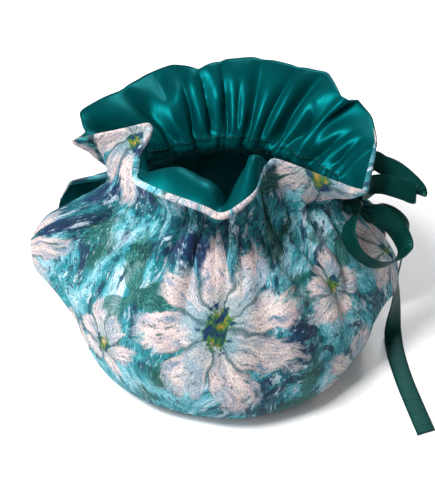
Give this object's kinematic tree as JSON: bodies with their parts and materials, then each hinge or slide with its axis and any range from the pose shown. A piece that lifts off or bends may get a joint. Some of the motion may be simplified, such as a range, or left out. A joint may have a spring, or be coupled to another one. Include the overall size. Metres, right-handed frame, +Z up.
{
  "type": "tea cosy",
  "caption": "Drawstring tea cosy of printed cotton with a satin lining, a ruffled collar, a side opening at each end and a tied ribbon; it rests on its hem.",
  "frame": {"origin": "bottom centre of the part's box, on the surface that the hem stands on", "axes": "+Z up; the printed front faces -Y; the wide side opening is at -X and the opening with the bow at +X"},
  "size_m": [0.2537, 0.2061, 0.1612],
  "materials": {
    "outer_front": "printed cotton",
    "outer_back": "printed cotton",
    "lining_front": "satin",
    "lining_back": "satin",
    "ribbon": "ribbed grosgrain"
  },
  "bodies": {
    "root": {"outer_front": "outer_front", "outer_back": "outer_back", "lining_front": "lining_front", "lining_back": "lining_back", "bow_knot": "ribbon", "bow_loop_upper": "ribbon", "bow_loop_hanging": "ribbon", "tail_long": "ribbon", "tail_short": "ribbon"}
  },
  "joints": []
}
